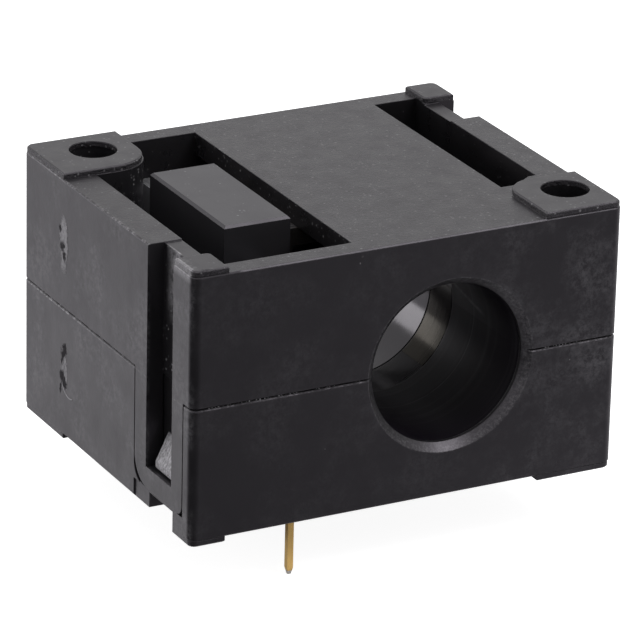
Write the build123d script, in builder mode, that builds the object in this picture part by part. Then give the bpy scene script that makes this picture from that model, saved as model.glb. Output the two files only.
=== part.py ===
from build123d import *
import os

# Hall effect current sensor with a round conductor bore, in millimetres.
# Origin: centre of the conductor bore, half way through the body, on the plane where the two shells meet.
# +X points to the right as seen from the front, +Y to the back along the bore, +Z up.

# Moulded body
body_depth = 38.6
corner_radius = 0.9
left_wall = 3.6
right_wall = 3.5
front_wall = 2.25
back_wall = 2.4
plate_thickness = 2.35
seam_gap = 0.2
seam_depth = 0.35
seam_lip = 0.15
edge_break = 0.15

# Conductor bore
bore_radius = 8.3
bore_chamfer = 0.8
sleeve_wall = 1.0
sleeve_inset = 1.2
sleeve_seat_gap = 0.05
sleeve_flange_radius = 10.0
sleeve_flange_thickness = 0.8
sleeve_flange_gap = 0.15
sleeve_lap_length = 1.0
sleeve_lap_gap = 0.05
sleeve_edge_break = 0.1

# Screw holes, in corner posts under the two large pads
screw_hole_radius = 2.45
back_hole_from_left = 5.7
back_hole_from_back = 4.25
front_hole_from_right = 3.6
front_hole_from_front = 5.3

# Raised pads on the top face, and the same feet below: two large ones round the screw holes, two small ones
pad_height = 0.6
pad_inset = 0.08
pad_corner_radius = 0.8
back_pad_reach_y = 9.4
back_pad_inner_radius = 4.1
front_pad_reach_y = 9.4
front_pad_inner_radius = 3.2
small_front_pad_reach_x = 3.8
small_back_pad_reach_x = 3.5
small_pad_inner_radius = 0.6
post_margin = 0.1

# Openings in the top plate
left_pocket_past_core = 0.5
right_pocket_past_core = 0.3
right_pocket_post_gap = 0.1
right_pocket_clip_start = 1.85
right_pocket_clip_width = 2.15
right_pocket_clip_depth = 1.6

# Snap loops of the upper shell, in recesses of the lower shell
loop_from_end = 1.9
loop_width = 10.45
loop_thickness = 1.8
loop_length = 11.7
loop_front_arm = 2.35
loop_back_arm = 2.5
loop_bar_height = 2.2
loop_inner_corner_radius = 2.8
loop_outer_corner_radius = 1.2
recess_inner_corner_radius = 2.0
recess_outer_corner_radius = 0.3
loop_gap = 0.15
loop_root = 1.0
loop_inset = 0.15
slot_wall_step = 0.12
catch_height = 3.6
catch_nose_height = 0.65
catch_reach = 1.4
catch_width = 4.3
catch_gap = 0.25
release_notch_from_end = 4.15
release_notch_width = 5.1
release_notch_height = 1.6

# Magnetic core of two laminated halves round the bore
core_depth = 11.6
core_left_leg = 3.9
core_right_leg = 2.6
core_yoke = 1.9
core_sleeve_gap = 0.1
core_left_leg_gap = 1.35
core_right_leg_gap = 1.45
core_board_gap = 0.45
core_wall_gap = 2.0
core_inner_radius = 0.5
core_rib_width = 0.8
core_rib_height = 1.0
core_rib_length = 16.0
core_rib_gap = 0.1

# Hall element in the gap of the left leg
element_thickness = 1.5
element_length = 3.0
element_lead_margin = 0.3
element_pole_gap = 0.2
element_from_leg = 0.25
element_spacer_gap = 0.15
element_lead = 0.4
element_lead_pitch = 1.27
element_lead_count = 4
element_lead_tail = 0.5
element_edge_break = 0.3
lead_hole_radius = 0.4

# Circuit board, standing on edge in the left compartment
board_bay = 7.95
board_post_gap = 1.25
board_thickness = 1.6
board_height = 19.9
board_end_gap = 0.15
board_ledge_height = 1.0
board_ledge_length = 2.4
board_ledge_depth = 2.0
board_ledge_from_end = 6.0
board_guide_width = 0.8
board_guide_depth = 0.5
board_guide_gap = 0.1
board_guide_height = 9.0

# Cover over the pole gap, standing astride the board
cover_width = 7.2
cover_depth = 16.5
cover_height = 17.5
cover_wall = 1.0
cover_gap = 0.1
cover_edge_break = 0.25

# Terminal pins, clipped on the board's lower edge
pin_size = 0.64
pin_reach = 6.85
pin_tip_length = 0.7
pin_tip_size = 0.3
pin_from_end = 3.0
pin_hole_radius = 0.6
clip_thickness = 0.3
clip_width = 1.2
clip_height = 2.5
clip_guide_gap = 0.1

# Small parts on the board
chip_stand_off = 0.1
chip_lead_thickness = 0.2
chip_lead_width = 0.42
chip_lead_reach = 1.0
chip_lead_pitch = 1.27
chip_foot_length = 0.6
terminal_thickness = 0.15
terminal_length = 0.5
terminal_narrowing = 0.1
terminal_lowering = 0.2
chip_edge_break = 0.2
column_margin = 3.2
column_gap = 0.8
thermistor_cover_gap = 1.25
thermistor_above_cover_foot = 1.5
resistor_size = (3.2, 1.6, 0.55)
thermistor_size = (2.0, 1.25, 0.8)
capacitor_size = (3.5, 2.8, 1.9)
diode_size = (4.3, 2.6, 2.1)
amplifier_size = (4.9, 3.9, 1.5)
reference_size = (2.9, 1.3, 1.0)

# Places worked out from the sizes above
sleeve_radius = bore_radius + sleeve_wall
core_left = -sleeve_radius - core_left_leg_gap - core_left_leg
core_right = sleeve_radius + core_right_leg_gap + core_right_leg
core_yoke_z = sleeve_radius + core_sleeve_gap
board_right = core_left - core_board_gap
board_left = board_right - board_thickness
board_x = (board_left + board_right) / 2
left_x = board_left - board_bay - left_wall
right_x = core_right + core_wall_gap + right_wall
body_width = right_x - left_x
mid_x = (left_x + right_x) / 2
front_y = -body_depth / 2
back_y = body_depth / 2
plate_z = core_yoke_z + core_yoke
shell_height = plate_z + plate_thickness
cavity_left = left_x + left_wall
cavity_right = right_x - right_wall
cavity_front = front_y + front_wall
cavity_back = back_y - back_wall
back_hole = (left_x + back_hole_from_left, back_y - back_hole_from_back)
front_hole = (right_x - front_hole_from_right, front_y + front_hole_from_front)
sleeve_end = back_y - sleeve_inset
back_pad_reach_x = left_wall + board_bay - board_post_gap - post_margin
front_pad_reach_x = right_x - sleeve_flange_radius - sleeve_flange_gap - post_margin
small_pad_reach_y = loop_from_end + loop_front_arm
board_bottom = -plate_z + board_ledge_height
board_top = board_bottom + board_height
board_front = cavity_front + board_end_gap
board_back = cavity_back - board_end_gap
board_middle = (board_front + board_back) / 2
pole_gap = element_thickness + 2 * element_pole_gap
element_left = core_left + element_from_leg
element_width = (element_lead_count - 1) * element_lead_pitch + element_lead + 2 * element_lead_margin
cover_top = shell_height
cover_foot = cover_top - cover_height
bay_y = (cover_depth / 2 + board_back) / 2
pin_places = {"supply_pin": front_y + pin_from_end, "output_pin": 0.0, "return_pin": back_y - pin_from_end}
sides = {"left": -1, "right": 1}

os.makedirs("parts", exist_ok=True)


def write(piece, name):
    """Labels a finished piece and writes its file."""
    piece.label = name
    export_step(piece, f"parts/{name}.step")


def corner_outline(side, end, reach_x, reach_y, inset, inner_radius, outer_radius):
    """Block in one corner of the body, seen from above, with its inner and outer corners rounded."""
    outer_x = (right_x if side > 0 else left_x) - side * inset
    outer_y = end * (body_depth / 2 - inset)
    inner_x = (right_x if side > 0 else left_x) - side * reach_x
    inner_y = end * (body_depth / 2 - reach_y)
    with BuildSketch() as outline:
        with Locations(((outer_x + inner_x) / 2, (outer_y + inner_y) / 2)):
            Rectangle(abs(outer_x - inner_x), abs(outer_y - inner_y))
        if inner_radius > 0:
            fillet(outline.vertices().sort_by_distance((inner_x, inner_y, 0))[0], inner_radius)
        if outer_radius > 0:
            fillet(outline.vertices().sort_by_distance((outer_x, outer_y, 0))[0], outer_radius)
    return outline.sketch


def pads_outline():
    """The two large pads round the screw holes and the two small pads between them."""
    with BuildSketch() as outline:
        add(corner_outline(-1, 1, back_pad_reach_x, back_pad_reach_y,
                           pad_inset, back_pad_inner_radius, pad_corner_radius))
        add(corner_outline(1, -1, front_pad_reach_x, front_pad_reach_y,
                           pad_inset, front_pad_inner_radius, pad_corner_radius))
        for side, reach_x in ((-1, small_front_pad_reach_x), (1, small_back_pad_reach_x)):
            add(corner_outline(side, side, reach_x, small_pad_reach_y,
                               pad_inset, small_pad_inner_radius, pad_corner_radius))
    return outline.sketch


def posts_outline():
    """Solid corners of the body that carry the screw holes and the small front pad."""
    with BuildSketch() as outline:
        add(corner_outline(-1, 1, back_pad_reach_x + post_margin, back_pad_reach_y + post_margin,
                           0, back_pad_inner_radius, 0))
        add(corner_outline(1, -1, front_pad_reach_x + post_margin, front_pad_reach_y + post_margin,
                           0, front_pad_inner_radius, 0))
        add(corner_outline(-1, -1, small_front_pad_reach_x + post_margin,
                           small_pad_reach_y + post_margin, 0, small_pad_inner_radius, 0))
    return outline.sketch


def cavity_outline():
    """Inside of the shells, seen from above, clear of the corner posts."""
    with BuildSketch() as outline:
        with Locations(((cavity_left + cavity_right) / 2, (cavity_front + cavity_back) / 2)):
            Rectangle(cavity_right - cavity_left, cavity_back - cavity_front)
        add(posts_outline(), mode=Mode.SUBTRACT)
    return outline.sketch


def left_pocket_outline():
    """Large opening of the top plate, over the board and the cover."""
    pocket_right = core_left + core_left_leg + left_pocket_past_core
    with BuildSketch() as outline:
        with Locations(((cavity_left + pocket_right) / 2, (cavity_front + cavity_back) / 2)):
            Rectangle(pocket_right - cavity_left, cavity_back - cavity_front)
        add(posts_outline(), mode=Mode.SUBTRACT)
    return outline.sketch


def right_pocket_outline():
    """Narrow opening of the top plate, over the core's right leg, clipped beside the screw post."""
    start_x = core_right - core_right_leg - right_pocket_past_core
    start_y = front_y + front_pad_reach_y + post_margin + right_pocket_post_gap
    clip_x = start_x + right_pocket_clip_start
    with BuildSketch() as outline:
        with BuildLine():
            Polyline(
                (start_x, cavity_back),
                (start_x, start_y),
                (clip_x, start_y),
                (clip_x + right_pocket_clip_width, start_y + right_pocket_clip_depth),
                (cavity_right, start_y + right_pocket_clip_depth),
                (cavity_right, cavity_back),
                close=True,
            )
        make_face()
        add(posts_outline(), mode=Mode.SUBTRACT)
    return outline.sketch


def bore_profile():
    """Half section of the space that the bore and the sleeves take out of the shells' end walls."""
    rim_radius = bore_radius + bore_chamfer
    seat_radius = sleeve_radius + sleeve_seat_gap
    with BuildSketch() as outline:
        with BuildLine():
            Polyline(
                (0, back_y),
                (rim_radius, back_y),
                (bore_radius, back_y - bore_chamfer),
                (bore_radius, sleeve_end),
                (seat_radius, sleeve_end),
                (seat_radius, -sleeve_end),
                (bore_radius, -sleeve_end),
                (bore_radius, front_y + bore_chamfer),
                (rim_radius, front_y),
                (0, front_y),
                close=True,
            )
        make_face()
    return outline.sketch


def seam_outline():
    """Step round the outside of the upper shell, along the plane where the shells meet."""
    with BuildSketch() as outline:
        with Locations((mid_x, 0)):
            Rectangle(body_width + 2, body_depth + 2)
            RectangleRounded(body_width - 2 * seam_depth, body_depth - 2 * seam_depth,
                             corner_radius - seam_depth, mode=Mode.SUBTRACT)
    return outline.sketch


def end_place(side, distance):
    """Y of a feature of a side wall, measured from the front on the left and from the back on the right."""
    return side * (body_depth / 2 - distance)


def loop_outline(side, gap, inner_radius, outer_radius):
    """Snap loop seen from its side, without its window, grown by the gap that its recess has."""
    start = end_place(side, loop_from_end - gap)
    finish = end_place(side, loop_from_end + loop_width + gap)
    bottom = -(loop_length + gap)
    top = loop_root if gap == 0 else 0
    with BuildSketch() as outline:
        with Locations(((start + finish) / 2, (top + bottom) / 2)):
            Rectangle(abs(finish - start), top - bottom)
        fillet(outline.vertices().sort_by_distance((start, bottom, 0))[0], outer_radius)
        fillet(outline.vertices().sort_by_distance((finish, bottom, 0))[0], inner_radius)
    return outline.sketch


def slot_ends(side):
    """Y of the two ends of the channel above a snap loop."""
    start = end_place(side, loop_from_end + loop_front_arm)
    finish = end_place(side, loop_from_end + loop_width - loop_back_arm)
    return start, finish


def slot_outline(side):
    """Channel above the snap loop and the loop's window."""
    start, finish = slot_ends(side)
    bottom = -(loop_length - loop_bar_height)
    top = shell_height + pad_height
    with BuildSketch() as outline:
        with Locations(((start + finish) / 2, (top + bottom) / 2)):
            Rectangle(abs(finish - start), top - bottom)
    return outline.sketch


def guides_outline():
    """Ribs on the front and back walls that hold the board on edge, seen from above."""
    with BuildSketch() as outline:
        for end_y, inward in ((cavity_front, 1), (cavity_back, -1)):
            for edge in (-1, 1):
                guide_x = board_x + edge * (board_thickness / 2 + board_guide_gap + board_guide_width / 2)
                with Locations((guide_x, end_y + inward * board_guide_depth / 2)):
                    Rectangle(board_guide_width, board_guide_depth)
    return outline.sketch


def side_x(side):
    """X of the outer face of a side wall."""
    return right_x if side > 0 else left_x


# Upper shell
with BuildPart() as upper_shell:
    with BuildSketch():
        with Locations((mid_x, 0)):
            RectangleRounded(body_width, body_depth, corner_radius)
    extrude(amount=shell_height)
    chamfer(upper_shell.faces().sort_by(Axis.Z)[-1].edges(), edge_break)
    with BuildSketch():
        add(seam_outline())
    extrude(amount=seam_gap, mode=Mode.SUBTRACT)
    with BuildSketch():
        add(cavity_outline())
    extrude(amount=plate_z, mode=Mode.SUBTRACT)
    with BuildSketch(Plane.XY.offset(plate_z)):
        add(left_pocket_outline())
        add(right_pocket_outline())
    extrude(amount=plate_thickness, mode=Mode.SUBTRACT)
    for side, wall in ((-1, left_wall), (1, right_wall)):
        slot_start, slot_finish = slot_ends(side)
        with BuildSketch(Plane.XY.offset(shell_height)):
            with Locations((side_x(side) - side * wall / 2, (slot_start + slot_finish) / 2)):
                Rectangle(wall, abs(slot_finish - slot_start))
        extrude(amount=-slot_wall_step, mode=Mode.SUBTRACT)
    with BuildSketch(Plane.XY.offset(shell_height - slot_wall_step)):
        add(pads_outline())
    extrude(amount=slot_wall_step + pad_height)
    chamfer(upper_shell.faces().group_by(Axis.Z)[-1].edges(), edge_break)
    for side in sides.values():
        with BuildSketch(Plane.YZ.offset(side_x(side))):
            add(loop_outline(side, 0, loop_inner_corner_radius, loop_outer_corner_radius))
        extrude(amount=-side * loop_thickness)
        with BuildSketch(Plane.YZ.offset(side_x(side))):
            add(slot_outline(side))
        extrude(amount=-side * loop_thickness, mode=Mode.SUBTRACT)
    with BuildSketch():
        add(bore_profile())
    revolve(axis=Axis.Y, mode=Mode.SUBTRACT)
    with BuildSketch():
        with Locations(back_hole, front_hole):
            Circle(screw_hole_radius)
    extrude(amount=shell_height + pad_height, mode=Mode.SUBTRACT)
    with BuildSketch():
        add(guides_outline())
    extrude(amount=board_top)
write(upper_shell.part, "upper_shell")

# Lower shell
with BuildPart() as lower_shell:
    with BuildSketch(Plane.XY.offset(-shell_height)):
        with Locations((mid_x, 0)):
            RectangleRounded(body_width, body_depth, corner_radius)
    extrude(amount=shell_height)
    chamfer(lower_shell.faces().sort_by(Axis.Z)[0].edges(), edge_break)
    chamfer(lower_shell.faces().sort_by(Axis.Z)[-1].edges(), seam_lip)
    with BuildSketch(Plane.XY.offset(-plate_z)):
        add(cavity_outline())
    extrude(amount=plate_z, mode=Mode.SUBTRACT)
    with BuildSketch(Plane.XY.offset(-shell_height - pad_height)):
        add(pads_outline())
    extrude(amount=pad_height)
    chamfer(lower_shell.faces().group_by(Axis.Z)[0].edges(), edge_break)
    for side in sides.values():
        with BuildSketch(Plane.YZ.offset(side_x(side))):
            add(loop_outline(side, loop_gap, recess_inner_corner_radius, recess_outer_corner_radius))
        extrude(amount=-side * (loop_thickness + loop_gap), mode=Mode.SUBTRACT)
        inset_y = end_place(side, loop_from_end + loop_width / 2)
        inset_bottom = -shell_height - pad_height
        with BuildSketch(Plane.YZ.offset(side_x(side))):
            with Locations((inset_y, (inset_bottom - loop_length) / 2)):
                Rectangle(loop_width + 2 * loop_gap, -loop_length - inset_bottom)
        extrude(amount=-side * loop_inset, mode=Mode.SUBTRACT)
        notch_y = end_place(side, release_notch_from_end + release_notch_width / 2)
        notch_top = -shell_height + release_notch_height
        notch_bottom = -shell_height - pad_height
        with BuildSketch(Plane.YZ.offset(side_x(side))):
            with Locations((notch_y, (notch_top + notch_bottom) / 2)):
                Rectangle(release_notch_width, notch_top - notch_bottom)
        extrude(amount=-side * (loop_thickness + loop_gap), mode=Mode.SUBTRACT)
        seat_x = side_x(side) - side * (loop_thickness + loop_gap)
        catch_bottom = -(loop_length - loop_bar_height) + catch_gap
        catch_start = end_place(side, loop_from_end + loop_front_arm + catch_gap)
        with BuildSketch(Plane.XZ.offset(-catch_start)):
            with BuildLine():
                Polyline(
                    (seat_x, catch_bottom),
                    (seat_x + side * catch_reach, catch_bottom),
                    (seat_x + side * catch_reach, catch_bottom + catch_nose_height),
                    (seat_x, catch_bottom + catch_height),
                    close=True,
                )
            make_face()
        extrude(amount=side * catch_width)
    with BuildSketch():
        add(bore_profile())
    revolve(axis=Axis.Y, mode=Mode.SUBTRACT)
    with BuildSketch(Plane.XY.offset(-shell_height - pad_height)):
        with Locations(back_hole, front_hole):
            Circle(screw_hole_radius)
    extrude(amount=shell_height + pad_height, mode=Mode.SUBTRACT)
    with BuildSketch(Plane.XY.offset(-plate_z)):
        for end in (-1, 1):
            with Locations((board_x, board_middle + end * (board_back - board_middle - board_ledge_from_end))):
                Rectangle(board_ledge_length, board_ledge_depth)
    extrude(amount=board_ledge_height)
    with BuildSketch(Plane.XY.offset(-plate_z)):
        add(guides_outline())
    extrude(amount=board_guide_height)
    with BuildSketch(Plane.XY.offset(-plate_z)):
        rib_y = core_depth / 2 + core_rib_gap + core_rib_width / 2
        with Locations((0, -rib_y), (0, rib_y)):
            Rectangle(core_rib_length, core_rib_width)
    extrude(amount=core_rib_height)
    with BuildSketch(Plane.XY.offset(-shell_height)):
        for pin_y in pin_places.values():
            with Locations((board_x, pin_y)):
                Circle(pin_hole_radius)
    extrude(amount=plate_thickness, mode=Mode.SUBTRACT)
write(lower_shell.part, "lower_shell")

# Front sleeve of the bore, with the outer half of the lap joint
with BuildPart() as bore_sleeve_front:
    with BuildSketch():
        with BuildLine():
            Polyline(
                (bore_radius, -sleeve_end),
                (sleeve_radius, -sleeve_end),
                (sleeve_radius, cavity_front),
                (sleeve_flange_radius, cavity_front),
                (sleeve_flange_radius, cavity_front + sleeve_flange_thickness),
                (sleeve_radius, cavity_front + sleeve_flange_thickness),
                (sleeve_radius, sleeve_lap_length),
                (sleeve_radius - sleeve_wall / 2, sleeve_lap_length),
                (sleeve_radius - sleeve_wall / 2, 0),
                (bore_radius + sleeve_edge_break, 0),
                (bore_radius, -sleeve_edge_break),
                close=True,
            )
        make_face()
    revolve(axis=Axis.Y)
write(bore_sleeve_front.part, "bore_sleeve_front")

# Back sleeve of the bore, with the inner half of the lap joint
with BuildPart() as bore_sleeve_back:
    with BuildSketch():
        with BuildLine():
            Polyline(
                (bore_radius, sleeve_edge_break),
                (bore_radius + sleeve_edge_break, 0),
                (sleeve_radius - sleeve_wall / 2 - sleeve_lap_gap, 0),
                (sleeve_radius - sleeve_wall / 2 - sleeve_lap_gap, sleeve_lap_length + sleeve_lap_gap),
                (sleeve_radius, sleeve_lap_length + sleeve_lap_gap),
                (sleeve_radius, cavity_back - sleeve_flange_thickness),
                (sleeve_flange_radius, cavity_back - sleeve_flange_thickness),
                (sleeve_flange_radius, cavity_back),
                (sleeve_radius, cavity_back),
                (sleeve_radius, sleeve_end),
                (bore_radius, sleeve_end),
                close=True,
            )
        make_face()
    revolve(axis=Axis.Y)
write(bore_sleeve_back.part, "bore_sleeve_back")


def core_half(up):
    """One laminated half of the core, a C with a short leg at the pole gap and a long one at the joint."""
    with BuildPart() as half:
        with BuildSketch(Plane.XZ):
            with BuildLine():
                Polyline(
                    (core_left, up * pole_gap / 2),
                    (core_left, up * plate_z),
                    (core_right, up * plate_z),
                    (core_right, 0),
                    (core_right - core_right_leg, 0),
                    (core_right - core_right_leg, up * core_yoke_z),
                    (core_left + core_left_leg, up * core_yoke_z),
                    (core_left + core_left_leg, up * pole_gap / 2),
                    close=True,
                )
            make_face()
        extrude(amount=core_depth / 2, both=True)
        for inner_x in (core_left + core_left_leg, core_right - core_right_leg):
            corner = half.edges().filter_by(Axis.Y).sort_by_distance((inner_x, 0, up * core_yoke_z))[0]
            fillet(corner, core_inner_radius)
    return half.part


write(core_half(1), "core_upper")
write(core_half(-1), "core_lower")

# Spacer that sets the pole gap, open towards the board for the Hall element
with BuildPart() as gap_spacer:
    with BuildSketch(Plane.XY.offset(-pole_gap / 2)):
        with Locations((core_left + core_left_leg / 2, 0)):
            Rectangle(core_left_leg, core_depth)
        pocket_right = element_left + element_length + element_spacer_gap
        with Locations(((core_left + pocket_right) / 2, 0)):
            Rectangle(pocket_right - core_left, element_width + 2 * element_spacer_gap, mode=Mode.SUBTRACT)
    extrude(amount=pole_gap)
write(gap_spacer.part, "gap_spacer")

# Hall element with its four leads through the board
with BuildPart() as hall_element:
    with BuildSketch(Plane.XY.offset(-element_thickness / 2)):
        with Locations((element_left + element_length / 2, 0)):
            Rectangle(element_length, element_width)
    extrude(amount=element_thickness)
    chamfer(hall_element.faces().sort_by(Axis.X)[-1].edges().filter_by(Axis.Y), element_edge_break)
    lead_end = board_left - element_lead_tail
    with BuildSketch(Plane.YZ.offset(lead_end)):
        with GridLocations(element_lead_pitch, 0, element_lead_count, 1):
            Rectangle(element_lead, element_lead)
    extrude(amount=element_left - lead_end)
write(hall_element.part, "hall_element")

# Circuit board
with BuildPart() as circuit_board:
    with BuildSketch(Plane.YZ.offset(board_left)):
        with Locations((board_middle, (board_bottom + board_top) / 2)):
            Rectangle(board_back - board_front, board_height)
        with GridLocations(element_lead_pitch, 0, element_lead_count, 1):
            Circle(lead_hole_radius, mode=Mode.SUBTRACT)
    extrude(amount=board_thickness)
write(circuit_board.part, "circuit_board")

# Cover over the pole gap, with slots for the board and a notch for the core
with BuildPart() as gap_cover:
    with BuildSketch(Plane.XY.offset(cover_foot)):
        with Locations((board_x, 0)):
            Rectangle(cover_width, cover_depth)
    extrude(amount=cover_height)
    chamfer(gap_cover.faces().sort_by(Axis.Z)[-1].edges(), cover_edge_break)
    with BuildSketch(Plane.XY.offset(cover_foot)):
        with Locations((board_x, 0)):
            Rectangle(cover_width - 2 * cover_wall, cover_depth - 2 * cover_wall)
    extrude(amount=cover_height - cover_wall, mode=Mode.SUBTRACT)
    with BuildSketch(Plane.XY.offset(cover_foot)):
        with Locations((board_x, 0)):
            Rectangle(board_thickness + 2 * cover_gap, cover_depth)
    extrude(amount=board_top + cover_gap - cover_foot, mode=Mode.SUBTRACT)
    with BuildSketch(Plane.XY.offset(cover_foot)):
        notch_left = board_x + cover_width / 2 - cover_wall
        with Locations((notch_left + cover_wall / 2, 0)):
            Rectangle(cover_wall, core_depth + 2 * cover_gap)
    extrude(amount=plate_z + cover_gap - cover_foot, mode=Mode.SUBTRACT)
write(gap_cover.part, "gap_cover")

# Terminal pins, each with a spring clip on the board's edge
for pin_name, pin_y in pin_places.items():
    clip_room = board_guide_depth + clip_guide_gap + clip_width / 2
    clip_y = min(max(pin_y, cavity_front + clip_room), cavity_back - clip_room)
    clip_bottom = board_bottom - clip_thickness
    pin_bottom = -shell_height - pin_reach
    with BuildPart() as pin:
        with BuildSketch(Plane.XY.offset(pin_bottom)):
            with Locations((board_x, pin_y)):
                Rectangle(pin_tip_size, pin_tip_size)
        with BuildSketch(Plane.XY.offset(pin_bottom + pin_tip_length)):
            with Locations((board_x, pin_y)):
                Rectangle(pin_size, pin_size)
        loft()
        with BuildSketch(Plane.XY.offset(pin_bottom + pin_tip_length)):
            with Locations((board_x, pin_y)):
                Rectangle(pin_size, pin_size)
        extrude(amount=clip_bottom - pin_bottom - pin_tip_length)
        with BuildSketch(Plane.XZ.offset(-clip_y)):
            with Locations((board_x, clip_bottom + (clip_height + clip_thickness) / 2)):
                Rectangle(board_thickness + 2 * clip_thickness, clip_height + clip_thickness)
            with Locations((board_x, board_bottom + clip_height / 2)):
                Rectangle(board_thickness, clip_height, mode=Mode.SUBTRACT)
        extrude(amount=clip_width / 2, both=True)
    write(pin.part, pin_name)


def board_plane(face, y, z):
    """Plane on the board's left (-1) or right (1) face, with its X along the board and its normal outwards."""
    return Plane(origin=(board_left if face < 0 else board_right, y, z), x_dir=(0, 1, 0), z_dir=(face, 0, 0))


def two_terminal_part(plane, size):
    """Small block with a metal terminal round each end, soldered flat on the board."""
    length, width, height = size
    with BuildPart() as block:
        with BuildSketch(plane):
            Rectangle(length - 2 * terminal_thickness, width)
        extrude(amount=height)
        with BuildSketch(plane):
            with GridLocations(length - terminal_length, 0, 2, 1):
                Rectangle(terminal_length, width - terminal_narrowing)
        extrude(amount=height - terminal_lowering)
    return block.part


def leaded_chip(plane, size, leads_per_side):
    """Moulded chip with bent leads along its two long sides."""
    length, width, height = size
    with BuildPart() as chip:
        with BuildSketch(plane.offset(chip_stand_off)):
            Rectangle(length, width)
        extrude(amount=height - chip_stand_off)
        top_edges = chip.faces().sort_by_distance(plane.origin)[-1].edges()
        chamfer(top_edges, chip_edge_break)
        for way in (-1, 1):
            start = way * width / 2
            lead_z = height / 2
            foot = way * (width / 2 + chip_lead_reach)
            knee = foot - way * chip_foot_length
            first = -(leads_per_side[way] - 1) / 2
            for count in range(leads_per_side[way]):
                place = (first + count) * chip_lead_pitch
                lead_plane = Plane(
                    origin=plane.from_local_coords(Vector(place - chip_lead_width / 2, 0, 0)),
                    x_dir=plane.y_dir,
                    z_dir=plane.x_dir,
                )
                with BuildSketch(lead_plane):
                    with BuildLine():
                        Polyline(
                            (start, lead_z),
                            (knee, lead_z),
                            (knee, 0),
                            (foot, 0),
                            (foot, chip_lead_thickness),
                            (knee + way * chip_lead_thickness, chip_lead_thickness),
                            (knee + way * chip_lead_thickness, lead_z + chip_lead_thickness),
                            (start, lead_z + chip_lead_thickness),
                            close=True,
                        )
                    make_face()
                extrude(amount=chip_lead_width)
    return chip.part


def column(face, y, pieces):
    """Writes pieces one under another on a face of the board, each given as its name, size and leads."""
    top = board_top - column_margin
    for name, size, leads in pieces:
        reach = size[1] + (2 * chip_lead_reach if leads else 0)
        plane = board_plane(face, y, top - reach / 2)
        write(leaded_chip(plane, size, leads) if leads else two_terminal_part(plane, size), name)
        top -= reach + column_gap


# Left face of the board, in front of the cover and behind it
column(-1, -bay_y, [
    ("amplifier_chip", amplifier_size, {-1: 4, 1: 4}),
    ("filter_capacitor_1", capacitor_size, None),
])
column(-1, bay_y, [
    ("reference_chip", reference_size, {-1: 1, 1: 2}),
    ("resistor_5", resistor_size, None),
    ("resistor_6", resistor_size, None),
])

# Right face of the board, in front of the cover and behind it
for end, numbers in ((-1, (1, 2)), (1, (3, 4))):
    column(1, end * bay_y, [
        (f"filter_capacitor_{numbers[0] // 2 + 2}", capacitor_size, None),
        (f"resistor_{numbers[0]}", resistor_size, None),
        (f"resistor_{numbers[1]}", resistor_size, None),
        (f"protection_diode_{numbers[0] // 2 + 1}", diode_size, None),
    ])

# Thermistor beside the pole gap
thermistor_y = cover_depth / 2 - cover_wall - thermistor_cover_gap - thermistor_size[0] / 2
thermistor_z = cover_foot + thermistor_above_cover_foot
write(two_terminal_part(board_plane(-1, thermistor_y, thermistor_z), thermistor_size), "thermistor")
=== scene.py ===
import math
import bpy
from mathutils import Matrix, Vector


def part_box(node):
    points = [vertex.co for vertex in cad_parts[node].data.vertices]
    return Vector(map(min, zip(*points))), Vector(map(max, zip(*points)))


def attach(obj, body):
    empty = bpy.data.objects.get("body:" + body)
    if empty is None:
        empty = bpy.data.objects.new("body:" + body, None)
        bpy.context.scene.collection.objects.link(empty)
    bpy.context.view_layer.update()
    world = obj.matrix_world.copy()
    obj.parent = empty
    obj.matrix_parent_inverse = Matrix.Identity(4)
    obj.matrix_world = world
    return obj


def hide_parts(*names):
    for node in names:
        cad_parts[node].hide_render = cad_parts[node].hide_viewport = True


bl_info = {
    "name": "Current sensor finish",
    "version": (1, 0, 0),
    "blender": (4, 5, 0),
    "location": "3D View > Sidebar > Current sensor",
    "description": "Finishes the housing, bore, core, circuit board and pins of a Hall effect current sensor",
    "category": "Object",
}

import bmesh
import bpy
from bpy.props import FloatProperty, FloatVectorProperty, IntProperty, PointerProperty
from mathutils import Matrix, Vector, noise

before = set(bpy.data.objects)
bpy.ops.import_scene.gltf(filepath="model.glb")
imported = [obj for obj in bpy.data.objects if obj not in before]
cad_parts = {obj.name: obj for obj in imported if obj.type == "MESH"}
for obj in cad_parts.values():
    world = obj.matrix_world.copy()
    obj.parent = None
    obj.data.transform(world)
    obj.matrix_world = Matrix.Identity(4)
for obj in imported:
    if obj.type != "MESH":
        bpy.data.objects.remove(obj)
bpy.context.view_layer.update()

MM = 0.001
BODY = "root"
LEFT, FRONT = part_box("lower_shell")[0][:2]
RIGHT, BACK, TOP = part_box("upper_shell")[1]
BOARD_LOW, BOARD_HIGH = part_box("circuit_board")
PIN_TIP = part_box("supply_pin")[0].z
COVER_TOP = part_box("gap_cover")[1].z

# Places on the solids, in metres
BORE_RADIUS = 8.3 * MM
PAD = 0.6 * MM
PLATE = TOP - PAD
POCKET_RIGHT = -10.15 * MM
SEAM_LIP = -0.12 * MM
LEFT_FACE = (LEFT + 0.4 * MM, LEFT + 0.2 * MM)
FRONT_FACE = (FRONT + 1.2 * MM, FRONT + 0.3 * MM)
SIDE_CATCHES = ((LEFT + 1.15 * MM, -(BACK - 6.6 * MM)), (RIGHT - 1.15 * MM, BACK - 6.6 * MM))

# Walls round the pockets, and the places of marks, in mm
SIDE_WALL, END_WALL = 2.6, 1.6
POST_TOP = (-19.3, 11.6, 11.6)
CORNER_VOID = (-26.75, -19.2, 14.0)
SCAR_Y = 9.55
CURL_Y, CURL_Z, CURL_RADIUS = 8.22, -7.29, 1.87
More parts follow.
